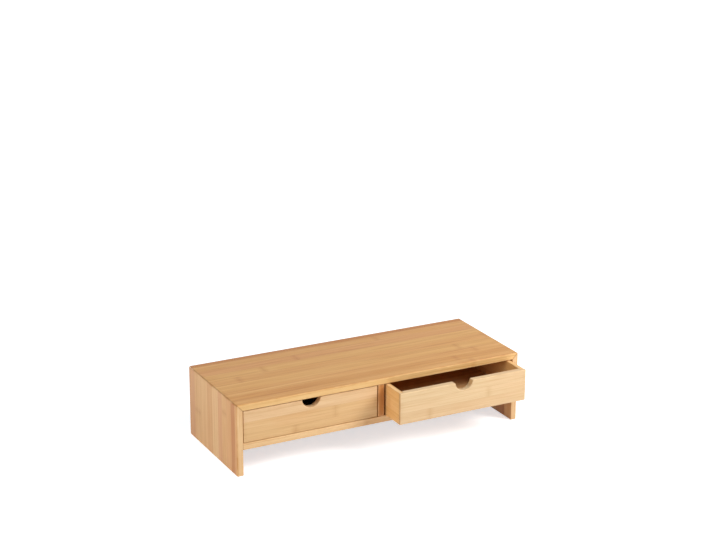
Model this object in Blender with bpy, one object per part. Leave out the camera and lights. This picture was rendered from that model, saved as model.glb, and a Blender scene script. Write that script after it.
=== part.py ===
"""Monitor stand of laminated bamboo with two drawers.

A mitred top board on two side panels, a shelf and a divider that make two drawer bays, and an
open space for a keyboard under the shelf. The left drawer is closed and the right one is pulled
out a little. Metres, +Z up, +X to the right along the front, -Y towards the person at the desk.
The origin is on the table, under the middle of the whole part with its open drawer.
"""
import math

import bmesh
import bpy
from mathutils import Matrix, Vector

MM = 0.001

# Case
CASE_WIDTH = 480 * MM
CASE_DEPTH = 180 * MM
CASE_HEIGHT = 112 * MM
BOARD = 10 * MM                    # top, side panels, shelf and divider
KEYBOARD_SPACE = 40.5 * MM         # clear height under the shelf
CORNER_RADIUS = 2.5 * MM           # long corners over the mitres
EDGE_ROUND = 2 * MM                # outer edges at the front and the back
INNER_EASE = 0.5 * MM              # edges that face a bay or the keyboard space
FOOT_EASE = 1 * MM                 # edges round the foot of a side panel

# Fits
GLUE_GAP = 0.3 * MM                # between pieces that meet
CUT_OVERRUN = 4 * MM               # how far a cutter reaches past what it cuts

# Back panel in its grooves
PANEL = 4 * MM
PANEL_INSET = 6 * MM               # from the case's back edge to the panel
PANEL_GROOVE = 5 * MM

# Splines in the mitres
SPLINE = 2.5 * MM
SPLINE_WIDTH = 9 * MM
SPLINE_SETBACK = 5 * MM            # from the inner corner, along the mitre
SPLINE_STOP = 12 * MM              # from the front edge and from the back panel

# Dowels
DOWEL_RADIUS = 2.5 * MM
DOWEL_LENGTH = 20 * MM
DOWEL_IN_FACE = 6.5 * MM           # how much of a dowel is in the face of a board
DOWEL_END_ROOM = 1 * MM            # air past each end of a dowel
DOWEL_EDGE = 25 * MM               # from the front edge or the back panel to the nearest dowel
SHELF_DOWELS = 3
DIVIDER_DOWELS = 2
DIVIDER_SHIFT = 2.4 * MM           # how far the divider stands left of the middle

# Drawers
RIGHT_OPENING = 45 * MM            # how far the right drawer stands open
DRAWER_BACK_ROOM = 4 * MM          # behind a closed drawer
DRAWER_SIDE_GAP = 1.1 * MM         # beside the left drawer; the right bay is wider
DRAWER_TOP_GAP = 1.2 * MM
FRONT_FOOT_GAP = 0.4 * MM          # under a drawer front
RUNNING_GAP = 0.3 * MM             # under a drawer's sides
FRONT = 10 * MM
FRONT_RECESS = 1 * MM              # a closed front behind the case's front edge
FRONT_ROUND = 1.2 * MM
FRONT_LIP = 4 * MM                 # wood left in front of the rabbets
SIDE = 7 * MM                      # drawer sides and back
SIDE_ROUND = 0.6 * MM
BOTTOM = 3 * MM
BOTTOM_RISE = 4 * MM               # from a side's lower edge up to the bottom
BOTTOM_GROOVE = 2.5 * MM

# Finger notch
NOTCH_RADIUS = 15 * MM
NOTCH_RISE = 1 * MM                # centre of the notch above the front's upper edge
NOTCH_LIP = 2 * MM                 # rounding where the notch runs out into the edge

# Pins through the drawer sides
PIN_RADIUS = 0.8 * MM
PIN_LENGTH = 16 * MM
PIN_FIT = 0.1 * MM
PIN_EDGE = 12 * MM                 # from a side's upper or lower edge to the nearest pin
PINS = 2

# Facets
CORNER_STEPS = 4
NOTCH_STEPS = 18
LIP_STEPS = 3
DOWEL_SIDES = 12
PIN_SIDES = 8
ROUND_SEGMENTS = 3
EASE_SEGMENTS = 1
SMOOTH_ANGLE = math.radians(40)

# Places that follow from the sizes above
CASE_FRONT = (RIGHT_OPENING - FRONT_RECESS - CASE_DEPTH) / 2
CASE_BACK = CASE_FRONT + CASE_DEPTH
HALF_WIDTH = CASE_WIDTH / 2
HALF_BOARD = BOARD / 2
HALF_GLUE = GLUE_GAP / 2
INNER_HALF = HALF_WIDTH - BOARD
TOP_UNDERSIDE = CASE_HEIGHT - BOARD
SHELF_TOP = KEYBOARD_SPACE + BOARD
PANEL_BACK = CASE_BACK - PANEL_INSET
PANEL_FRONT = PANEL_BACK - PANEL
MITRE_SLIP = HALF_GLUE * math.sqrt(2)
DIVIDER_LEFT = -DIVIDER_SHIFT - HALF_BOARD
DIVIDER_RIGHT = -DIVIDER_SHIFT + HALF_BOARD
LEFT_BAY_CENTRE = (-INNER_HALF + DIVIDER_LEFT) / 2
RIGHT_BAY_CENTRE = (DIVIDER_RIGHT + INNER_HALF) / 2
HALF_DRAWER = (DIVIDER_LEFT + INNER_HALF) / 2 - DRAWER_SIDE_GAP
DRAWER_FRONT = CASE_FRONT + FRONT_RECESS
DRAWER_BACK = PANEL_FRONT - DRAWER_BACK_ROOM
FRONT_INSIDE = DRAWER_FRONT + FRONT
FRONT_BASE = SHELF_TOP + FRONT_FOOT_GAP
SIDE_BASE = SHELF_TOP + RUNNING_GAP
SIDE_INSIDE = HALF_DRAWER - SIDE
SIDE_START = DRAWER_FRONT + FRONT_LIP + GLUE_GAP
DRAWER_TOP = TOP_UNDERSIDE - DRAWER_TOP_GAP
BOTTOM_BASE = SIDE_BASE + BOTTOM_RISE
BOTTOM_TOP = BOTTOM_BASE + BOTTOM

BAMBOO = (0.70, 0.40, 0.16, 1)
PALE_BAMBOO = (0.84, 0.56, 0.28, 1)
BAMBOO_PLY = (0.62, 0.38, 0.18, 1)
DOWEL_WOOD = (0.72, 0.52, 0.32, 1)


def clear_scene():
    for item in list(bpy.data.objects):
        bpy.data.objects.remove(item, do_unlink=True)


def make_material(name, colour, roughness):
    material = bpy.data.materials.new(name)
    material.use_nodes = True
    shader = material.node_tree.nodes["Principled BSDF"]
    shader.inputs["Base Color"].default_value = colour
    shader.inputs["Roughness"].default_value = roughness
    shader.inputs["Metallic"].default_value = 0
    return material


def add_object(name, form, material=None, body=None):
    """Turn a bmesh into an object, carried by its body's empty if it has one."""
    bmesh.ops.recalc_face_normals(form, faces=form.faces)
    if body is not None:
        bmesh.ops.translate(form, verts=form.verts, vec=-body.location)
    mesh = bpy.data.meshes.new(name)
    form.to_mesh(mesh)
    form.free()
    item = bpy.data.objects.new(name, mesh)
    bpy.context.collection.objects.link(item)
    item.parent = body
    if material is not None:
        mesh.materials.append(material)
        mesh.shade_smooth()
        mesh.set_sharp_from_angle(angle=SMOOTH_ANGLE)
    return item


def add_box(form, low, high):
    """Add a box between two corners to a bmesh."""
    size = Vector(high) - Vector(low)
    middle = (Vector(high) + Vector(low)) / 2
    place = Matrix.Translation(middle) @ Matrix.Diagonal((*size, 1))
    bmesh.ops.create_cube(form, size=1, matrix=place)


def add_rod(form, start, end, radius, sides):
    """Add a round bar between two points to a bmesh."""
    run = end - start
    turn = run.to_track_quat("Z", "Y").to_matrix().to_4x4()
    place = Matrix.Translation((start + end) / 2) @ turn
    bmesh.ops.create_cone(form, cap_ends=True, segments=sides, radius1=radius, radius2=radius,
                          depth=run.length, matrix=place)


def add_extrusion(form, outline, front, back):
    """Add a solid with an outline in X and Z, from front to back."""
    face = form.faces.new([form.verts.new((x, front, z)) for x, z in outline])
    grown = bmesh.ops.extrude_face_region(form, geom=[face])
    moved = [part for part in grown["geom"] if isinstance(part, bmesh.types.BMVert)]
    bmesh.ops.translate(form, verts=moved, vec=(0, back - front, 0))


def near(value, target):
    return abs(value - target) < HALF_GLUE


def edge_on(edge, axis, place):
    """Whether an edge lies in the plane where one coordinate has a given value."""
    return all(near(vertex.co[axis], place) for vertex in edge.verts)


def at_front_or_back(edge):
    return edge_on(edge, 1, CASE_FRONT) or edge_on(edge, 1, CASE_BACK)


def round_edges(form, chosen, radius, segments):
    """Round the edges that meet a rule."""
    bmesh.ops.bevel(form, geom=[edge for edge in form.edges if chosen(edge)], offset=radius,
                    segments=segments, profile=0.5, affect="EDGES", clamp_overlap=True)


def cut_away(item, label, form):
    """Cut a bmesh out of an object with a hidden cutter."""
    cutter = add_object(f"{item.name}_{label}_cutter", form, body=item.parent)
    cutter.hide_render = True
    cutter.display_type = "WIRE"
    change = item.modifiers.new(label, "BOOLEAN")
    change.operation = "DIFFERENCE"
    change.solver = "EXACT"
    change.object = cutter


def arc_points(centre_x, centre_z, radius, start, end, steps):
    angles = [start + (end - start) * step / steps for step in range(steps + 1)]
    return [(centre_x + radius * math.cos(a), centre_z + radius * math.sin(a)) for a in angles]


def spread(count, low, high):
    """Even places from low to high."""
    return [low + (high - low) * step / (count - 1) for step in range(count)]


def corner_arc(start, end):
    """Part of the rounded long corner of the case, seen from the front."""
    return arc_points(HALF_WIDTH - CORNER_RADIUS, CASE_HEIGHT - CORNER_RADIUS, CORNER_RADIUS,
                      start, end, CORNER_STEPS)


def top_outline():
    """Section of the top board, with a mitre and half of a rounded corner at each end."""
    turn = math.radians(45) + math.asin(HALF_GLUE / CORNER_RADIUS)
    right = [(INNER_HALF - MITRE_SLIP, TOP_UNDERSIDE), *corner_arc(turn, math.radians(90))]
    return right + [(-x, z) for x, z in reversed(right)]


def side_outline(hand):
    """Section of a side panel, from its foot to its mitre."""
    turn = math.radians(45) - math.asin(HALF_GLUE / CORNER_RADIUS)
    foot = [(INNER_HALF, 0), (HALF_WIDTH, 0)]
    mitre_end = (INNER_HALF, TOP_UNDERSIDE - MITRE_SLIP)
    return [(hand * x, z) for x, z in [*foot, *corner_arc(0, turn), mitre_end]]


def mitre_point(hand, along, across):
    """A place in the section of a mitre, from its inner corner: along it, and square to it."""
    step = math.sqrt(0.5)
    x = INNER_HALF + (along + across) * step
    z = TOP_UNDERSIDE + (along - across) * step
    return hand * x, z


def add_spline(form, hand, room):
    """Add a mitre's loose spline, or with room round it, the slot for one."""
    half_thick = SPLINE / 2 + room
    half_width = SPLINE_WIDTH / 2 + room
    low = SPLINE_SETBACK - half_thick
    high = SPLINE_SETBACK + half_thick
    outline = [mitre_point(hand, low, -half_width), mitre_point(hand, high, -half_width),
               mitre_point(hand, high, half_width), mitre_point(hand, low, half_width)]
    add_extrusion(form, outline, CASE_FRONT + SPLINE_STOP - room, PANEL_FRONT - SPLINE_STOP + room)


def case_dowels():
    """Name, start and end of every dowel of the case."""
    front = CASE_FRONT + DOWEL_EDGE
    back = PANEL_FRONT - DOWEL_EDGE
    seats = []
    for side_name, hand in (("left", -1), ("right", 1)):
        for number, y in enumerate(spread(SHELF_DOWELS, front, back), 1):
            base = Vector((hand * INNER_HALF, y, SHELF_TOP - HALF_BOARD))
            seats.append((f"{side_name}_shelf_dowel_{number}", base, Vector((-hand, 0, 0))))
    for number, y in enumerate(spread(DIVIDER_DOWELS, front, back), 1):
        lower = Vector((-DIVIDER_SHIFT, y, SHELF_TOP))
        upper = Vector((-DIVIDER_SHIFT, y, TOP_UNDERSIDE))
        seats.append((f"divider_lower_dowel_{number}", lower, Vector((0, 0, 1))))
        seats.append((f"divider_upper_dowel_{number}", upper, Vector((0, 0, -1))))
    return [(name, base - way * DOWEL_IN_FACE, base + way * (DOWEL_LENGTH - DOWEL_IN_FACE))
            for name, base, way in seats]


def add_dowel_holes(form, word):
    """Add the holes of every dowel whose name holds a word."""
    for name, start, end in case_dowels():
        if word in name:
            room = (end - start).normalized() * DOWEL_END_ROOM
            add_rod(form, start - room, end + room, DOWEL_RADIUS + GLUE_GAP, DOWEL_SIDES)


def add_panel_groove(form, low_x, high_x, low_z, high_z):
    """Add the groove of the back panel between two places in X and in Z."""
    add_box(form, (low_x, PANEL_FRONT - GLUE_GAP, low_z), (high_x, PANEL_BACK + GLUE_GAP, high_z))


def make_top_board(material):
    form = bmesh.new()
    add_extrusion(form, top_outline(), CASE_FRONT, CASE_BACK)
    middle = CASE_HEIGHT - HALF_BOARD
    round_edges(form, lambda edge: at_front_or_back(edge)
                and all(vertex.co.z > middle for vertex in edge.verts),
                EDGE_ROUND, ROUND_SEGMENTS)
    round_edges(form, lambda edge: at_front_or_back(edge) and edge_on(edge, 2, TOP_UNDERSIDE),
                INNER_EASE, EASE_SEGMENTS)
    board = add_object("top_board", form, material)
    cuts = bmesh.new()
    add_panel_groove(cuts, -HALF_WIDTH, HALF_WIDTH, TOP_UNDERSIDE - CUT_OVERRUN,
                     TOP_UNDERSIDE + PANEL_GROOVE)
    add_dowel_holes(cuts, "upper")
    add_spline(cuts, -1, GLUE_GAP)
    add_spline(cuts, 1, GLUE_GAP)
    cut_away(board, "joinery", cuts)


def make_side_panel(side_name, hand, material):
    form = bmesh.new()
    add_extrusion(form, side_outline(hand), CASE_FRONT, CASE_BACK)
    middle = HALF_WIDTH - HALF_BOARD
    round_edges(form, lambda edge: at_front_or_back(edge)
                and all(abs(vertex.co.x) > middle for vertex in edge.verts),
                EDGE_ROUND, ROUND_SEGMENTS)
    round_edges(form, lambda edge: at_front_or_back(edge) and edge_on(edge, 0, hand * INNER_HALF),
                INNER_EASE, EASE_SEGMENTS)
    round_edges(form, lambda edge: edge_on(edge, 2, 0), FOOT_EASE, ROUND_SEGMENTS)
    panel = add_object(f"{side_name}_side_panel", form, material)
    cuts = bmesh.new()
    groove = sorted((hand * (INNER_HALF - CUT_OVERRUN), hand * (INNER_HALF + PANEL_GROOVE)))
    add_panel_groove(cuts, *groove, SHELF_TOP - PANEL_GROOVE, CASE_HEIGHT)
    add_dowel_holes(cuts, f"{side_name}_shelf")
    add_spline(cuts, hand, GLUE_GAP)
    cut_away(panel, "joinery", cuts)


def make_drawer_shelf(material):
    form = bmesh.new()
    reach = INNER_HALF - GLUE_GAP
    add_box(form, (-reach, CASE_FRONT, KEYBOARD_SPACE), (reach, CASE_BACK, SHELF_TOP))
    round_edges(form, lambda edge: at_front_or_back(edge)
                and (edge_on(edge, 2, KEYBOARD_SPACE) or edge_on(edge, 2, SHELF_TOP)),
                INNER_EASE, EASE_SEGMENTS)
    shelf = add_object("drawer_shelf", form, material)
    cuts = bmesh.new()
    add_panel_groove(cuts, -HALF_WIDTH, HALF_WIDTH, SHELF_TOP - PANEL_GROOVE,
                     SHELF_TOP + CUT_OVERRUN)
    add_dowel_holes(cuts, "shelf_dowel")
    add_dowel_holes(cuts, "lower")
    cut_away(shelf, "joinery", cuts)


def make_centre_divider(material):
    form = bmesh.new()
    add_box(form, (DIVIDER_LEFT, CASE_FRONT, SHELF_TOP + GLUE_GAP),
            (DIVIDER_RIGHT, PANEL_FRONT - GLUE_GAP, TOP_UNDERSIDE - GLUE_GAP))
    round_edges(form, lambda edge: edge_on(edge, 1, CASE_FRONT)
                and (edge_on(edge, 0, DIVIDER_LEFT) or edge_on(edge, 0, DIVIDER_RIGHT)),
                INNER_EASE, EASE_SEGMENTS)
    divider = add_object("centre_divider", form, material)
    cuts = bmesh.new()
    add_dowel_holes(cuts, "divider")
    cut_away(divider, "joinery", cuts)


def make_back_panel(material):
    form = bmesh.new()
    depth = PANEL_GROOVE - GLUE_GAP
    add_box(form, (-INNER_HALF - depth, PANEL_FRONT, SHELF_TOP - depth),
            (INNER_HALF + depth, PANEL_BACK, TOP_UNDERSIDE + depth))
    add_object("back_panel", form, material)


def make_case(bamboo, ply, dowel_wood):
    make_top_board(bamboo)
    make_drawer_shelf(bamboo)
    make_centre_divider(bamboo)
    make_back_panel(ply)
    for side_name, hand in (("left", -1), ("right", 1)):
        make_side_panel(side_name, hand, bamboo)
        form = bmesh.new()
        add_spline(form, hand, 0)
        add_object(f"{side_name}_mitre_spline", form, dowel_wood)
    for name, start, end in case_dowels():
        form = bmesh.new()
        add_rod(form, start, end, DOWEL_RADIUS, DOWEL_SIDES)
        add_object(name, form, dowel_wood)


def front_outline(centre):
    """Outline of a drawer front, with the half-round finger notch in its upper edge."""
    rise = NOTCH_RISE + NOTCH_LIP
    lip_x = math.sqrt((NOTCH_RADIUS + NOTCH_LIP) ** 2 - rise ** 2)
    turn = math.atan2(rise, lip_x)
    bowl = arc_points(0, DRAWER_TOP + NOTCH_RISE, NOTCH_RADIUS, -turn, turn - math.pi,
                      NOTCH_STEPS)
    lip = arc_points(lip_x, DRAWER_TOP - NOTCH_LIP, NOTCH_LIP, math.radians(90), math.pi - turn,
                     LIP_STEPS)
    other_lip = [(-x, z) for x, z in reversed(lip)]
    right = [(HALF_DRAWER, FRONT_BASE), (HALF_DRAWER, DRAWER_TOP)]
    left = [(-HALF_DRAWER, DRAWER_TOP), (-HALF_DRAWER, FRONT_BASE)]
    return [(centre + x, z) for x, z in [*right, *lip, *bowl[1:-1], *other_lip, *left]]


def make_drawer_front(name, centre, body, material):
    form = bmesh.new()
    add_extrusion(form, front_outline(centre), DRAWER_FRONT, FRONT_INSIDE)
    notch_floor = DRAWER_TOP - NOTCH_RADIUS
    round_edges(form, lambda edge: edge_on(edge, 1, DRAWER_FRONT), FRONT_ROUND, ROUND_SEGMENTS)
    round_edges(form, lambda edge: edge_on(edge, 1, FRONT_INSIDE)
                and all(vertex.co.z > notch_floor for vertex in edge.verts),
                SIDE_ROUND, EASE_SEGMENTS)
    front = add_object(f"{name}_front", form, material, body)

    rabbets = bmesh.new()
    for hand in (-1, 1):
        ends = sorted((centre + hand * (SIDE_INSIDE - GLUE_GAP),
                       centre + hand * (HALF_DRAWER + CUT_OVERRUN)))
        add_box(rabbets, (ends[0], DRAWER_FRONT + FRONT_LIP, FRONT_BASE - CUT_OVERRUN),
                (ends[1], FRONT_INSIDE + CUT_OVERRUN, DRAWER_TOP + CUT_OVERRUN))
    cut_away(front, "rabbets", rabbets)

    groove = bmesh.new()
    add_box(groove, (centre - HALF_DRAWER, FRONT_INSIDE - BOTTOM_GROOVE, BOTTOM_BASE - GLUE_GAP),
            (centre + HALF_DRAWER, FRONT_INSIDE + CUT_OVERRUN, BOTTOM_TOP + GLUE_GAP))
    cut_away(front, "groove", groove)

    pin_holes = bmesh.new()
    add_pin_holes(pin_holes, centre, "front")
    cut_away(front, "pin_holes", pin_holes)


def drawer_pins(centre):
    """Corner, start and end of every pin of a drawer."""
    rows = (("front", (SIDE_START + FRONT_INSIDE) / 2), ("back", DRAWER_BACK - SIDE / 2))
    heights = spread(PINS, SIDE_BASE + PIN_EDGE, DRAWER_TOP - PIN_EDGE)
    pins = []
    for side_name, hand in (("left", -1), ("right", 1)):
        for row_name, y in rows:
            for z in heights:
                start = Vector((centre + hand * HALF_DRAWER, y, z))
                end = start - Vector((hand * PIN_LENGTH, 0, 0))
                pins.append((f"{side_name}_{row_name}", start, end))
    return pins


def add_pin_holes(form, centre, word):
    """Add the holes of every pin whose corner's name holds a word."""
    for corner, start, end in drawer_pins(centre):
        if word in corner:
            run = (end - start).normalized()
            add_rod(form, start - run * CUT_OVERRUN, end + run * PIN_FIT, PIN_RADIUS + PIN_FIT,
                    PIN_SIDES)


def make_drawer_side(name, side_name, hand, centre, body, material):
    form = bmesh.new()
    x_places = sorted((centre + hand * SIDE_INSIDE, centre + hand * HALF_DRAWER))
    add_box(form, (x_places[0], SIDE_START, SIDE_BASE), (x_places[1], DRAWER_BACK, DRAWER_TOP))
    round_edges(form, lambda edge: edge_on(edge, 2, DRAWER_TOP)
                and any(edge_on(edge, 0, place) for place in x_places),
                SIDE_ROUND, EASE_SEGMENTS)
    side = add_object(f"{name}_{side_name}_side", form, material, body)
    groove = bmesh.new()
    groove_x = sorted((centre + hand * (SIDE_INSIDE - CUT_OVERRUN),
                       centre + hand * (SIDE_INSIDE + BOTTOM_GROOVE)))
    add_box(groove, (groove_x[0], SIDE_START - CUT_OVERRUN, BOTTOM_BASE - GLUE_GAP),
            (groove_x[1], DRAWER_BACK + CUT_OVERRUN, BOTTOM_TOP + GLUE_GAP))
    cut_away(side, "groove", groove)
    pin_holes = bmesh.new()
    add_pin_holes(pin_holes, centre, side_name)
    cut_away(side, "pin_holes", pin_holes)


def make_drawer_back(name, centre, body, material):
    form = bmesh.new()
    reach = SIDE_INSIDE - GLUE_GAP
    add_box(form, (centre - reach, DRAWER_BACK - SIDE, BOTTOM_TOP + GLUE_GAP),
            (centre + reach, DRAWER_BACK, DRAWER_TOP))
    round_edges(form, lambda edge: edge_on(edge, 2, DRAWER_TOP)
                and (edge_on(edge, 1, DRAWER_BACK) or edge_on(edge, 1, DRAWER_BACK - SIDE)),
                SIDE_ROUND, EASE_SEGMENTS)
    back = add_object(f"{name}_back", form, material, body)
    pin_holes = bmesh.new()
    add_pin_holes(pin_holes, centre, "back")
    cut_away(back, "pin_holes", pin_holes)


def make_drawer_bottom(name, centre, body, material):
    form = bmesh.new()
    reach = SIDE_INSIDE + BOTTOM_GROOVE - GLUE_GAP
    add_box(form, (centre - reach, FRONT_INSIDE - BOTTOM_GROOVE + GLUE_GAP, BOTTOM_BASE),
            (centre + reach, DRAWER_BACK, BOTTOM_TOP))
    add_object(f"{name}_bottom", form, material, body)


def make_drawer(name, centre, opening, pale, ply, dowel_wood):
    """One drawer, built closed on an empty on its sliding axis and then pulled out."""
    body = bpy.data.objects.new(name, None)
    bpy.context.collection.objects.link(body)
    body.location = (centre, DRAWER_FRONT, (SIDE_BASE + DRAWER_TOP) / 2)
    make_drawer_front(name, centre, body, pale)
    make_drawer_side(name, "left", -1, centre, body, pale)
    make_drawer_side(name, "right", 1, centre, body, pale)
    make_drawer_back(name, centre, body, pale)
    make_drawer_bottom(name, centre, body, ply)
    for number, (corner, start, end) in enumerate(drawer_pins(centre)):
        form = bmesh.new()
        add_rod(form, start, end, PIN_RADIUS, PIN_SIDES)
        add_object(f"{name}_{corner}_pin_{number % PINS + 1}", form, dowel_wood, body)
    body.location.y -= opening


def main():
    clear_scene()
    bamboo = make_material("laminated_bamboo", BAMBOO, 0.45)
    pale = make_material("pale_bamboo", PALE_BAMBOO, 0.45)
    ply = make_material("bamboo_ply", BAMBOO_PLY, 0.5)
    dowel_wood = make_material("dowel_wood", DOWEL_WOOD, 0.6)
    make_case(bamboo, ply, dowel_wood)
    make_drawer("left_drawer", LEFT_BAY_CENTRE, 0, pale, ply, dowel_wood)
    make_drawer("right_drawer", RIGHT_BAY_CENTRE, RIGHT_OPENING, pale, ply, dowel_wood)


main()
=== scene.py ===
"""Looks of the monitor stand: camera, studio light and the finish of every board.

The boards are laminated bamboo. Each one is glued up from strips that run along its grain, with
fibres, soft streaks, the bamboo's knuckles, glue lines and darker end grain, under a thin satin
lacquer. All lengths are in metres, and the patterns are worked out from object coordinates, which
move with each drawer.
"""
import math

import bpy
from mathutils import Matrix, Vector


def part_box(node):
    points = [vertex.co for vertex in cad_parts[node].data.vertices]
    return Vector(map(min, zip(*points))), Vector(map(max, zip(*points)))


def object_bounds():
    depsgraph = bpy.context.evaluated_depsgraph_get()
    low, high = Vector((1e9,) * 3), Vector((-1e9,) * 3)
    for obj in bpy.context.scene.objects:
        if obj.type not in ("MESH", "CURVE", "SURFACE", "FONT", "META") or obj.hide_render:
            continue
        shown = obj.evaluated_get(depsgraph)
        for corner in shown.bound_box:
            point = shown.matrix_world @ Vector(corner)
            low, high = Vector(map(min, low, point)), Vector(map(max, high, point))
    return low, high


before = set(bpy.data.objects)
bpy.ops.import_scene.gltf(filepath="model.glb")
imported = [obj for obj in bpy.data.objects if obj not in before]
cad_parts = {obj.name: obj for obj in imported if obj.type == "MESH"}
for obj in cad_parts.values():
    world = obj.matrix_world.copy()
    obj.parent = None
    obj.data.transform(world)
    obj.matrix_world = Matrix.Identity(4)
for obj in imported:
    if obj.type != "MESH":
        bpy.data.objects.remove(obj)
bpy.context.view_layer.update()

MM = 0.001
AXES = "XYZ"
TOP_LOW, TOP_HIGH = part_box("top_board")
CASE_MIDDLE = (TOP_LOW + TOP_HIGH) / 2

# The photograph's frame and camera
IMAGE_WIDTH = 716
SENSOR_WIDTH = 36.0
FOCAL_PIXELS = 1750.0
CLIP_END = 50.0
CAMERA_YAW = math.radians(27.62)
CAMERA_PITCH = math.radians(18.04)
CAMERA_ROLL = math.radians(0.23)
CAMERA_FROM_CASE = Vector((-1167.9, -2240.1, 1079.4)) * MM

# Light: the level of a lamp is what a white sheet turned to it would show, from 0 to 1
WORLD_LIGHT = 0.25
BACKDROP_WHITE = 1.0
LIGHT_DISTANCE = 1.7
# A name, the azimuth and elevation in degrees, the size in metres and the level
LIGHTS = (("key_softbox", 50.0, 37.0, 0.7, 0.88), ("fill_softbox", -72.0, 27.0, 1.2, 0.5))

# The floor: its glow rises from the near level to the far one between two distances
FLOOR_SIZE = 12.0
FLOOR_ALBEDO = 0.88
GLOW_NEAR = 0.35
GLOW_FAR = 2.5
FLOOR_GLOW_NEAR = 0.6
FLOOR_GLOW_FAR = 0.95
FLOOR_GLOW_TINT = (0.94, 0.99, 1.05, 1.0)

# The sockets of a mix node that carry colours, which share their names with others
MIX_FACTOR = 0
MIX_FIRST = 6
MIX_SECOND = 7
MIX_RESULT = 2


def make_camera():
    """A camera at the photograph's viewing angle."""
    forward = Vector((math.sin(CAMERA_YAW) * math.cos(CAMERA_PITCH),
                      math.cos(CAMERA_YAW) * math.cos(CAMERA_PITCH), -math.sin(CAMERA_PITCH)))
    level = Vector((math.cos(CAMERA_YAW), -math.sin(CAMERA_YAW), 0.0))
    upward = level.cross(forward)
    right = math.cos(CAMERA_ROLL) * level + math.sin(CAMERA_ROLL) * upward
    up = right.cross(forward)
    data = bpy.data.cameras.new("photo_camera")
    data.sensor_width = SENSOR_WIDTH
    data.lens = SENSOR_WIDTH * FOCAL_PIXELS / IMAGE_WIDTH
    data.clip_end = CLIP_END
    camera = bpy.data.objects.new("photo_camera", data)
    turn = Matrix((right, up, -forward)).transposed().to_4x4()
    place = Vector((0.0, CASE_MIDDLE.y, 0.0)) + CAMERA_FROM_CASE
    camera.matrix_world = Matrix.Translation(place) @ turn
    bpy.context.scene.collection.objects.link(camera)
    bpy.context.scene.camera = camera


def make_area_light(name, azimuth, elevation, size, level):
    """A soft square light aimed at the stand. Azimuth 0 is in front, 90 to the right."""
    turn = math.radians(azimuth)
    lift = math.radians(elevation)
    way = Vector((math.sin(turn) * math.cos(lift), -math.cos(turn) * math.cos(lift),
                  math.sin(lift)))
    data = bpy.data.lights.new(name, "AREA")
    data.shape = "SQUARE"
    data.size = size
    data.energy = level * math.pi ** 2 * LIGHT_DISTANCE ** 2
    light = bpy.data.objects.new(name, data)
    light.location = way * LIGHT_DISTANCE
    light.rotation_mode = "QUATERNION"
    light.rotation_quaternion = way.to_track_quat("Z", "Y")
    bpy.context.scene.collection.objects.link(light)


class Nodes:
    """Short calls for building the node tree of a material or a world."""

    def __init__(self, owner):
        owner.use_nodes = True
        self.tree = owner.node_tree
        self.tree.nodes.clear()

    def add(self, kind, inputs=(), **settings):
        node = self.tree.nodes.new(kind)
        for name, value in settings.items():
            setattr(node, name, value)
        for name, value in dict(inputs).items():
            self.feed(node.inputs[name], value)
        return node

    def feed(self, socket, value):
        if isinstance(value, bpy.types.NodeSocket):
            self.tree.links.new(value, socket)
        else:
            socket.default_value = value

    def math(self, operation, first, second=0.0, third=0.0):
        node = self.add("ShaderNodeMath", {0: first, 1: second, 2: third}, operation=operation)
        return node.outputs[0]

    def join(self, x, y, z):
        return self.add("ShaderNodeCombineXYZ", {"X": x, "Y": y, "Z": z}).outputs[0]

    def split(self, vector):
        return self.add("ShaderNodeSeparateXYZ", {0: vector}).outputs

    def noise(self, vector, scale, detail, roughness=0.5):
        node = self.add("ShaderNodeTexNoise", {"Vector": vector, "Scale": scale, "Detail": detail,
                                               "Roughness": roughness})
        return node.outputs["Fac"]

    def spread(self, value, low, high, to_low=0.0, to_high=1.0, smooth=False):
        """Map a value from one range to another, kept inside it."""
        kind = "SMOOTHSTEP" if smooth else "LINEAR"
        node = self.add("ShaderNodeMapRange", {"Value": value, "From Min": low, "From Max": high,
                                               "To Min": to_low, "To Max": to_high},
                        interpolation_type=kind)
        return node.outputs["Result"]

    def mix(self, factor, first, second, blend="MIX"):
        node = self.add("ShaderNodeMix", data_type="RGBA", blend_type=blend)
        self.feed(node.inputs[MIX_FACTOR], factor)
        self.feed(node.inputs[MIX_FIRST], first)
        self.feed(node.inputs[MIX_SECOND], second)
        return node.outputs[MIX_RESULT]

    def dye(self, colour, amount, dye):
        """Multiply a colour by a dye, as far as the amount says."""
        return self.mix(amount, colour, dye, "MULTIPLY")

    def steps(self, value, stops):
        """A ramp with hard steps. Stops are pairs of a place from 0 to 1 and a colour."""
        node = self.add("ShaderNodeValToRGB", {"Fac": value})
        ramp = node.color_ramp
        ramp.interpolation = "CONSTANT"
        while len(ramp.elements) < len(stops):
            ramp.elements.new(1.0)
        for element, (place, colour) in zip(ramp.elements, stops):
            element.position = place
            element.color = colour
        return node.outputs["Color"]


def tone(red, green, blue):
    """Linear colour from sRGB values of 0 to 255."""
    def linear(value):
        value = value / 255
        return value / 12.92 if value <= 0.04045 else ((value + 0.055) / 1.055) ** 2.4
    return (linear(red), linear(green), linear(blue), 1.0)


# Colours of the bamboo, named from light to dark
CREAM = tone(230, 193, 144)
PEACH = tone(228, 188, 139)
PALE = tone(223, 181, 126)
STRAW = tone(218, 172, 114)
HONEY = tone(214, 165, 106)
TAN = tone(211, 159, 101)
ROSY = tone(210, 155, 103)
AMBER = tone(204, 149, 88)
RUSSET = tone(191, 129, 70)
WORN = tone(232, 196, 146)

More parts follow.
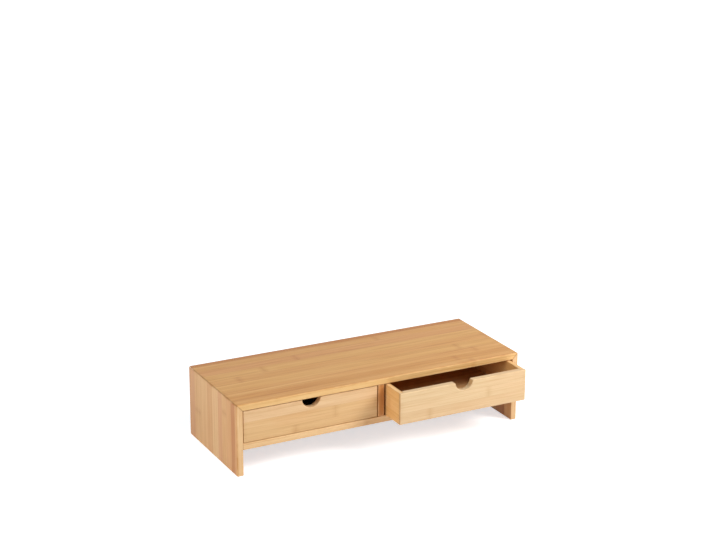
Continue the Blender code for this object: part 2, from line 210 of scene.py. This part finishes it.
# What dyes the colours: a multiplied colour for each mark
STREAK_DYE = (0.80, 0.68, 0.52, 1.0)
FIBRE_DYE = (0.74, 0.58, 0.42, 1.0)
KNUCKLE_DYE = (0.66, 0.46, 0.28, 1.0)
GLUE_DYE = (0.58, 0.42, 0.30, 1.0)
END_DYE = (0.82, 0.70, 0.56, 1.0)
BUNDLE_DYE = (0.45, 0.30, 0.20, 1.0)
ROSY_DYE = (1.0, 0.955, 0.94, 1.0)
# Grime and painted shade: darkens the wood next to every edge, standing in for shade at joints and
# gaps
GRIME_AND_SHADE_DYE = (0.84, 0.76, 0.68, 1.0)

# Whole boards are tinted a little, each in its own way
WHITE = (1.0, 1.0, 1.0, 1.0)
TOP_TINT = (1.01, 0.99, 0.82, 1.0)
RIGHT_PANEL_TINT = (0.97, 0.99, 1.04, 1.0)
LEFT_FRONT_TINT = (0.96, 0.99, 1.05, 1.0)
RIGHT_FRONT_TINT = (0.91, 0.98, 1.07, 1.0)
# The drawer sides are brightened: painted light standing in for light reaching inside the drawers
DRAWER_SIDE_PAINTED_LIGHT = (1.1, 1.07, 0.98, 1.0)

# Sizes of the marks
STREAK_WIDTH = 8 * MM
STREAK_LENGTH = 260 * MM
VEIN_WIDTH = 2.4 * MM
VEIN_LENGTH = 110 * MM
FIBRE_WIDTH = 0.9 * MM
FIBRE_LENGTH = 45 * MM
CLOUD_WIDTH = 34 * MM
CLOUD_LENGTH = 120 * MM
KNUCKLE_SPACING = 430 * MM
KNUCKLE_LINE = 0.9 * MM
KNUCKLE_HALO = 9 * MM
KNUCKLE_BEND = 6 * MM
GLUE_LINE = 0.3 * MM
MITRE_LINE = 0.9 * MM
BUNDLE_SPACING = 0.75 * MM
WEAR_CORE = 0.2 * MM
WEAR_WIDTH = 1.6 * MM
# How far from an edge the grime and painted shade reach
GRIME_AND_SHADE_WIDTH = 7 * MM
SCRATCH_WIDTH = 0.5 * MM
SCRATCH_LENGTH = 14 * MM
FIBRE_HEIGHT = 0.12 * MM

# How fine each noise is
STREAK_DETAIL = 3.0
CLOUD_DETAIL = 2.0
VEIN_DETAIL = 2.0
FIBRE_DETAIL = 4.0
FIBRE_ROUGHNESS = 0.65
SCRATCH_DETAIL = 1.0
SCRATCH_OFFSET = 3.0
PATCH_DETAIL = 3.0
PATCH_SCALE = 55.0

# Where a pattern starts to show and where it shows in full, on its scale from 0 to 1
STREAK_RANGE = (0.42, 0.72)
PALE_STREAK_RANGE = (0.45, 0.25)
CLOUD_RANGE = (0.45, 0.7)
VEIN_RANGE = (0.52, 0.74)
FIBRE_RANGE = (0.48, 0.75)
BUNDLE_RANGE = (0.18, 0.36)
WEAR_PATCH_RANGE = (0.38, 0.62)
# Patches of grime and painted shade next to the edges
GRIME_AND_SHADE_PATCH_RANGE = (0.6, 0.4)
SCRATCH_RANGE = (0.74, 0.8)
GLOSS_RANGE = (0.3, 0.7)
PATTERN_MIDDLE = 0.5

# How squarely a face has to look along the grain, or across it, to count as an end or an edge
END_FACING = (0.6, 0.85)
EDGE_FACING = (0.8, 0.97)

# How strongly the marks show in the colour
STREAKS = 0.42
PALE_STREAKS = 0.25
VEINS = 0.6
FIBRES = 0.4
ROSINESS = 1.0
KNUCKLES = 0.8
KNUCKLE_BAND = 0.3
KNUCKLE_CORE = 0.25
GLUE = 0.35
MITRE = 0.45
BUNDLES = 0.55
EDGE_PALENESS = 0.8
WEAR = 0.5
# Grime and painted shade next to the edges
GRIME_AND_SHADE = 0.3

# The lacquer's roughness, and what the marks take from it or add to it
LACQUER = 0.42
GLOSSY_FIBRES = 0.05
DULL_FIBRES = 0.1
DULL_WEAR = 0.12
DULL_BARE_WOOD = 0.1
SPECULAR = 0.35

# Relief: how deep or high each mark is, as a share of the fibres' height
BUMP_STRENGTH = 0.5
FIBRE_SHARE = 0.6
STREAK_SHARE = 0.5
GLUE_SHARE = 0.35
KNUCKLE_SHARE = 0.4
SCRATCH_SHARE = 0.3

# Each strip has a number from 0 to 1, which sets its marks off from its neighbours'
GOLDEN = 0.618
NUMBER_REACH = 61.0
LEAST_NUMBER_STEP = 0.01


def strip_ramps(n, place, strips, shift):
    """The colour of the strip at a place across the board, and a number of its own."""
    total = sum(width for width, colour in strips)
    start = 0.0
    colours = []
    numbers = []
    for index, (width, colour) in enumerate(strips):
        number = ((index + 1) * GOLDEN + shift) % 1.0
        colours.append((start / total, colour))
        numbers.append((start / total, (number, number, number, 1.0)))
        start += width
    return n.steps(place, colours), n.steps(place, numbers), numbers


def edge_distance(n, parts, node):
    """How far a point on the board's skin is from the board's nearest edge."""
    low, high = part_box(node)
    gaps = []
    for axis in range(len(AXES)):
        from_low = n.math("SUBTRACT", parts[axis], low[axis])
        from_high = n.math("SUBTRACT", high[axis], parts[axis])
        gaps.append(n.math("MINIMUM", from_low, from_high))
    least = n.math("MINIMUM", gaps[0], gaps[1])
    most = n.math("MAXIMUM", gaps[0], gaps[1])
    return n.math("MAXIMUM", least, n.math("MINIMUM", most, gaps[2]))


def grain_noise(n, ways, length, width, offset, detail, roughness=0.5):
    """Noise for marks that are long along the grain and narrow across it."""
    along, side, deep = ways
    place = n.join(n.math("MULTIPLY_ADD", along, 1 / length, offset),
                   n.math("MULTIPLY", side, 1 / width), n.math("MULTIPLY", deep, 1 / width))
    return n.noise(place, 1.0, detail, roughness)


def knuckle_marks(n, along, own, cloud, strength):
    """A knuckle now and then on each strip: a soft darker band, and a thin line in it."""
    phase = n.math("FRACT", n.math("MULTIPLY_ADD", along, 1 / KNUCKLE_SPACING, own))
    off_middle = n.math("ABSOLUTE", n.math("SUBTRACT", phase, PATTERN_MIDDLE))
    away = n.math("MULTIPLY", off_middle, KNUCKLE_SPACING)
    bend = n.math("MULTIPLY", n.math("SUBTRACT", cloud, PATTERN_MIDDLE), KNUCKLE_BEND)
    away = n.math("ABSOLUTE", n.math("ADD", away, bend))
    band = n.spread(away, 0.0, KNUCKLE_HALO, KNUCKLE_BAND * strength, 0.0, smooth=True)
    line = n.spread(away, 0.0, KNUCKLE_LINE, KNUCKLE_CORE * strength, 0.0)
    return band, line


def mitre_seam(n, parts):
    """The glue line of a mitre, on the plane that halves the case's upper corners."""
    across_mitre = n.math("SUBTRACT", n.math("ABSOLUTE", parts[0]), parts[2])
    off = n.math("SUBTRACT", across_mitre, TOP_HIGH.x - TOP_HIGH.z)
    return n.spread(n.math("ABSOLUTE", off), MITRE_LINE / 2, MITRE_LINE, MITRE, 0.0)


def end_grain(n, place, colour):
    """End grain: darker, with the dots of the bamboo's bundles."""
    cells = n.add("ShaderNodeTexVoronoi", {"Vector": place, "Scale": 1 / BUNDLE_SPACING})
    dots = n.spread(cells.outputs["Distance"], *BUNDLE_RANGE, BUNDLES, 0.0)
    return n.dye(n.dye(colour, 1.0, END_DYE), dots, BUNDLE_DYE)


def handling_and_edge_shade(n, place, parts, node):
    """How far the edges are rubbed pale, and the grime and painted shade beside them."""
    edge = edge_distance(n, parts, node)
    patches = n.noise(place, PATCH_SCALE, PATCH_DETAIL)
    rubbed = n.math("MULTIPLY", n.spread(edge, WEAR_CORE, WEAR_WIDTH, WEAR, 0.0),
                    n.spread(patches, *WEAR_PATCH_RANGE))
    # Grime and painted shade: the wood is darkened from 1.6 to 7 mm off each edge, in patches
    grime_and_shade = n.math("MULTIPLY", n.spread(edge, WEAR_WIDTH, GRIME_AND_SHADE_WIDTH, GRIME_AND_SHADE, 0.0),
                   n.spread(patches, *GRIME_AND_SHADE_PATCH_RANGE))
    return rubbed, grime_and_shade


def bamboo(name, node, grain, across, strips, shift, streaks=STREAKS, veins=VEINS, shine=LACQUER,
           knuckles=KNUCKLES, rosiness=ROSINESS, edge_pale=EDGE_PALENESS, mitre=False, tint=WHITE):
    """Laminated bamboo for one board: strips across it, and marks that follow its grain."""
    material = bpy.data.materials.new(name)
    n = Nodes(material)
    spot = n.add("ShaderNodeTexCoord").outputs
    parts = n.split(spot["Object"])
    facing = n.split(spot["Normal"])
    grain_axis = AXES.index(grain)
    across_axis = AXES.index(across)
    deep_axis = sum(range(len(AXES))) - grain_axis - across_axis
    along, side, deep = parts[grain_axis], parts[across_axis], parts[deep_axis]
    ways = (along, side, deep)
    low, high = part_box(node)
    width = high[across_axis] - low[across_axis]

    # The strips, and the glue line between two of them
    place = n.spread(side, low[across_axis], high[across_axis])
    colour, number, numbers = strip_ramps(n, place, strips, shift)
    beside = n.steps(n.math("ADD", place, GLUE_LINE / width), numbers)
    step = n.math("ABSOLUTE", n.math("SUBTRACT", beside, number))
    glue = n.math("GREATER_THAN", step, LEAST_NUMBER_STEP)
    own = n.math("MULTIPLY", n.math("MULTIPLY", number, number), NUMBER_REACH)

    # The long narrow edges of a board are paler than its face
    on_edge = n.spread(n.math("ABSOLUTE", facing[across_axis]), *EDGE_FACING, to_high=edge_pale)
    colour = n.mix(on_edge, colour, CREAM)

    # Broad streaks, cloudy patches, veins and fine fibres
    streak = grain_noise(n, ways, STREAK_LENGTH, STREAK_WIDTH, own, STREAK_DETAIL)
    cloud = grain_noise(n, ways, CLOUD_LENGTH, CLOUD_WIDTH, own, CLOUD_DETAIL)
    vein = grain_noise(n, ways, VEIN_LENGTH, VEIN_WIDTH, own, VEIN_DETAIL)
    fibre = grain_noise(n, ways, FIBRE_LENGTH, FIBRE_WIDTH, own, FIBRE_DETAIL, FIBRE_ROUGHNESS)
    colour = n.dye(colour, n.spread(streak, *STREAK_RANGE, to_high=streaks), STREAK_DYE)
    colour = n.mix(n.spread(streak, *PALE_STREAK_RANGE, to_high=PALE_STREAKS), colour, WORN)
    colour = n.dye(colour, n.spread(cloud, *CLOUD_RANGE, to_high=rosiness), ROSY_DYE)
    colour = n.dye(colour, n.spread(vein, *VEIN_RANGE, to_high=veins), STREAK_DYE)
    colour = n.dye(colour, n.spread(fibre, *FIBRE_RANGE, to_high=FIBRES), FIBRE_DYE)

    band, line = knuckle_marks(n, along, own, cloud, knuckles)
    colour = n.dye(colour, band, KNUCKLE_DYE)
    colour = n.dye(colour, line, KNUCKLE_DYE)
    colour = n.dye(colour, n.math("MULTIPLY", glue, GLUE), GLUE_DYE)
    if mitre:
        colour = n.dye(colour, mitre_seam(n, parts), GLUE_DYE)

    on_end = n.spread(n.math("ABSOLUTE", facing[grain_axis]), *END_FACING)
    colour = n.mix(on_end, colour, end_grain(n, spot["Object"], colour))
    colour = n.dye(colour, 1.0, tint)

    # Handling: pale rubbed edges, faint grime and painted shade beside them, short scratches
    rubbed, grime_and_shade = handling_and_edge_shade(n, spot["Object"], parts, node)
    scratch = grain_noise(n, ways, SCRATCH_LENGTH, SCRATCH_WIDTH, SCRATCH_OFFSET, SCRATCH_DETAIL)
    scratch = n.spread(scratch, *SCRATCH_RANGE)
    # Grime and painted shade darken the wood near the edges
    colour = n.dye(colour, grime_and_shade, GRIME_AND_SHADE_DYE)
    colour = n.mix(rubbed, colour, WORN)

    # Satin lacquer, duller in the fibres, on rubbed edges and on end grain
    rough = n.spread(fibre, *GLOSS_RANGE, shine - GLOSSY_FIBRES, shine + DULL_FIBRES)
    rough = n.math("ADD", rough, n.math("MULTIPLY", rubbed, DULL_WEAR))
    bare = n.math("MAXIMUM", scratch, on_end)
    rough = n.math("ADD", rough, n.math("MULTIPLY", bare, DULL_BARE_WOOD))
    height = n.math("MULTIPLY_ADD", fibre, -FIBRE_SHARE, n.math("MULTIPLY", streak, STREAK_SHARE))
    for mark, share in ((glue, GLUE_SHARE), (line, KNUCKLE_SHARE), (scratch, SCRATCH_SHARE)):
        height = n.math("SUBTRACT", height, n.math("MULTIPLY", mark, share))
    bump = n.add("ShaderNodeBump", {"Height": height, "Strength": BUMP_STRENGTH,
                                    "Distance": FIBRE_HEIGHT})
    shader = n.add("ShaderNodeBsdfPrincipled", {"Base Color": colour, "Roughness": rough,
                                                "Normal": bump.outputs[0],
                                                "Specular IOR Level": SPECULAR})
    n.add("ShaderNodeOutputMaterial", {"Surface": shader.outputs[0]})
    return material


def dress(node, material):
    """Give a CAD node its finish."""
    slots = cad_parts[node].data.materials
    slots.clear()
    slots.append(material)


# Strips from the low side of each board to the high side: a width in millimetres and a colour
TOP_STRIPS = ((14, TAN), (20, AMBER), (22, TAN), (24, HONEY), (23, TAN), (23, HONEY),
              (22, ROSY), (19, TAN), (13, RUSSET))
LEFT_STRIPS = ((7, TAN), (13, RUSSET), (17, TAN), (16, HONEY), (15, ROSY), (22, PALE), (18, TAN),
               (27, STRAW), (23, HONEY), (22, ROSY))
RIGHT_STRIPS = ((20, AMBER), (24, RUSSET), (18, TAN), (22, ROSY), (26, HONEY), (20, PALE),
                (24, TAN), (26, HONEY))
SHELF_STRIPS = ((22, PALE), (20, TAN), (24, HONEY), (22, STRAW), (24, ROSY), (22, HONEY),
                (24, TAN), (22, STRAW))
DIVIDER_STRIPS = ((24, RUSSET), (22, AMBER), (26, ROSY), (20, TAN), (24, STRAW), (22, HONEY),
                  (20, TAN), (18, ROSY))
LEFT_FRONT_STRIPS = ((13, PALE), (19, PALE), (18, PEACH))
RIGHT_FRONT_STRIPS = ((18, PEACH), (17, CREAM), (15, CREAM))
DRAWER_STRIPS = ((16, STRAW), (18, PALE), (16, STRAW))
DRAWER_BACK_STRIPS = ((20, STRAW), (14, HONEY), (16, STRAW))
PANEL_STRIPS = ((42, STRAW), (55, PALE), (38, STRAW), (60, HONEY))
DOWEL_STRIPS = ((1, PALE), (1, STRAW))

# What departs from the usual marks
TOP_MARKS = {"veins": 0.85, "rosiness": 0.4, "mitre": True, "tint": TOP_TINT}
LEFT_PANEL_MARKS = {"mitre": True}
RIGHT_PANEL_MARKS = {"mitre": True, "tint": RIGHT_PANEL_TINT}
DIVIDER_MARKS = {"edge_pale": 0.0}
VENEER_MARKS = {"streaks": 0.4, "shine": 0.5, "knuckles": 0.5}
FRONT_MARKS = {"streaks": 0.32, "veins": 0.5, "knuckles": 0.6}
DOWEL_MARKS = {"knuckles": 0.0}

# A material's name, its node, the axes along the grain and across it, the strips, a shift from 0
# to 1 that sets the pattern off from the other boards', and the marks
CASE_BOARDS = (
    ("top_bamboo", "top_board", "X", "Y", TOP_STRIPS, 0.13, TOP_MARKS),
    ("left_side_bamboo", "left_side_panel", "Z", "Y", LEFT_STRIPS, 0.31, LEFT_PANEL_MARKS),
    ("right_side_bamboo", "right_side_panel", "Z", "Y", RIGHT_STRIPS, 0.57, RIGHT_PANEL_MARKS),
    ("shelf_bamboo", "drawer_shelf", "X", "Y", SHELF_STRIPS, 0.71, {}),
    ("divider_bamboo", "centre_divider", "Z", "Y", DIVIDER_STRIPS, 0.05, DIVIDER_MARKS),
    ("back_panel_veneer", "back_panel", "X", "Z", PANEL_STRIPS, 0.4, VENEER_MARKS),
)

# A drawer, the strips of its front, the shift of its pattern and the front's tint
DRAWERS = (("left_drawer", LEFT_FRONT_STRIPS, 0.22, LEFT_FRONT_TINT),
           ("right_drawer", RIGHT_FRONT_STRIPS, 0.9, RIGHT_FRONT_TINT))

# Words in a node's name, the axes along the grain and across it, and the shift. The first row
# whose words are all in the name counts.
JOINERY = ((("spline",), "Y", "X", 0.2), (("divider", "dowel"), "Z", "X", 0.5),
           (("dowel",), "X", "Z", 0.8), (("pin",), "X", "Z", 0.8))


def dress_case():
    for name, node, grain, across, strips, shift, marks in CASE_BOARDS:
        dress(node, bamboo(name, node, grain, across, strips, shift, **marks))


def dress_drawer(drawer, front_strips, shift, tint):
    """A drawer's front, sides, back and bottom, with the pattern moved on at each side."""
    front = drawer + "_front"
    dress(front, bamboo(front + "_bamboo", front, "X", "Z", front_strips, shift, tint=tint,
                        **FRONT_MARKS))
    for side in (drawer + "_left_side", drawer + "_right_side"):
        shift += GOLDEN
        # The sides' tint brightens them: painted light
        dress(side, bamboo(side + "_bamboo", side, "Y", "Z", DRAWER_STRIPS, shift,
                           tint=DRAWER_SIDE_PAINTED_LIGHT))
    back = drawer + "_back"
    dress(back, bamboo(back + "_bamboo", back, "X", "Z", DRAWER_BACK_STRIPS, shift))
    bottom = drawer + "_bottom"
    dress(bottom, bamboo(bottom + "_veneer", bottom, "X", "Y", PANEL_STRIPS, shift,
                         **VENEER_MARKS))


def dress_joinery():
    """Splines, dowels and pins are plain pale wood, mostly hidden in the joints."""
    for node in sorted(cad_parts):
        for words, grain, across, shift in JOINERY:
            if all(word in node for word in words):
                dress(node, bamboo(node + "_wood", node, grain, across, DOWEL_STRIPS, shift,
                                   **DOWEL_MARKS))
                break


def seen_directly(n):
    """One for what the camera sees, also in a reflection or through glass."""
    path = n.add("ShaderNodeLightPath").outputs
    mirror = n.math("MAXIMUM", path["Is Camera Ray"], path["Is Glossy Ray"])
    return n.math("MAXIMUM", mirror, path["Is Transmission Ray"])


def make_floor():
    """A plain pale floor that shows white where nothing shades it."""
    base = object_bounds()[0].z
    half = FLOOR_SIZE / 2
    mesh = bpy.data.meshes.new("studio_floor")
    corners = [(-half, -half, base), (half, -half, base), (half, half, base), (-half, half, base)]
    mesh.from_pydata(corners, [], [(0, 1, 2, 3)])
    floor = bpy.data.objects.new("studio_floor", mesh)
    bpy.context.scene.collection.objects.link(floor)
    material = bpy.data.materials.new("pale_floor")
    n = Nodes(material)
    paper = n.add("ShaderNodeBsdfDiffuse",
                  {"Color": (FLOOR_ALBEDO, FLOOR_ALBEDO, FLOOR_ALBEDO, 1.0)})
    place = n.add("ShaderNodeTexCoord").outputs["Object"]
    away = n.add("ShaderNodeVectorMath", {0: place}, operation="LENGTH").outputs["Value"]
    level = n.spread(away, GLOW_NEAR, GLOW_FAR, FLOOR_GLOW_NEAR, FLOOR_GLOW_FAR)
    glow = n.add("ShaderNodeEmission", {"Color": FLOOR_GLOW_TINT,
                                        "Strength": n.math("MULTIPLY", seen_directly(n), level)})
    both = n.add("ShaderNodeAddShader", {0: paper.outputs[0], 1: glow.outputs[0]})
    n.add("ShaderNodeOutputMaterial", {"Surface": both.outputs[0]})
    mesh.materials.append(material)


def make_world():
    """An even white studio that also shows as a white background."""
    world = bpy.data.worlds.new("white_studio")
    n = Nodes(world)
    strength = n.spread(seen_directly(n), 0.0, 1.0, WORLD_LIGHT, BACKDROP_WHITE)
    air = n.add("ShaderNodeBackground", {"Color": WHITE, "Strength": strength})
    n.add("ShaderNodeOutputWorld", {"Surface": air.outputs[0]})
    bpy.context.scene.world = world


make_camera()
make_world()
for light in LIGHTS:
    make_area_light(*light)
make_floor()
dress_case()
for drawer in DRAWERS:
    dress_drawer(*drawer)
dress_joinery()

bpy.context.scene.view_settings.view_transform = "Standard"
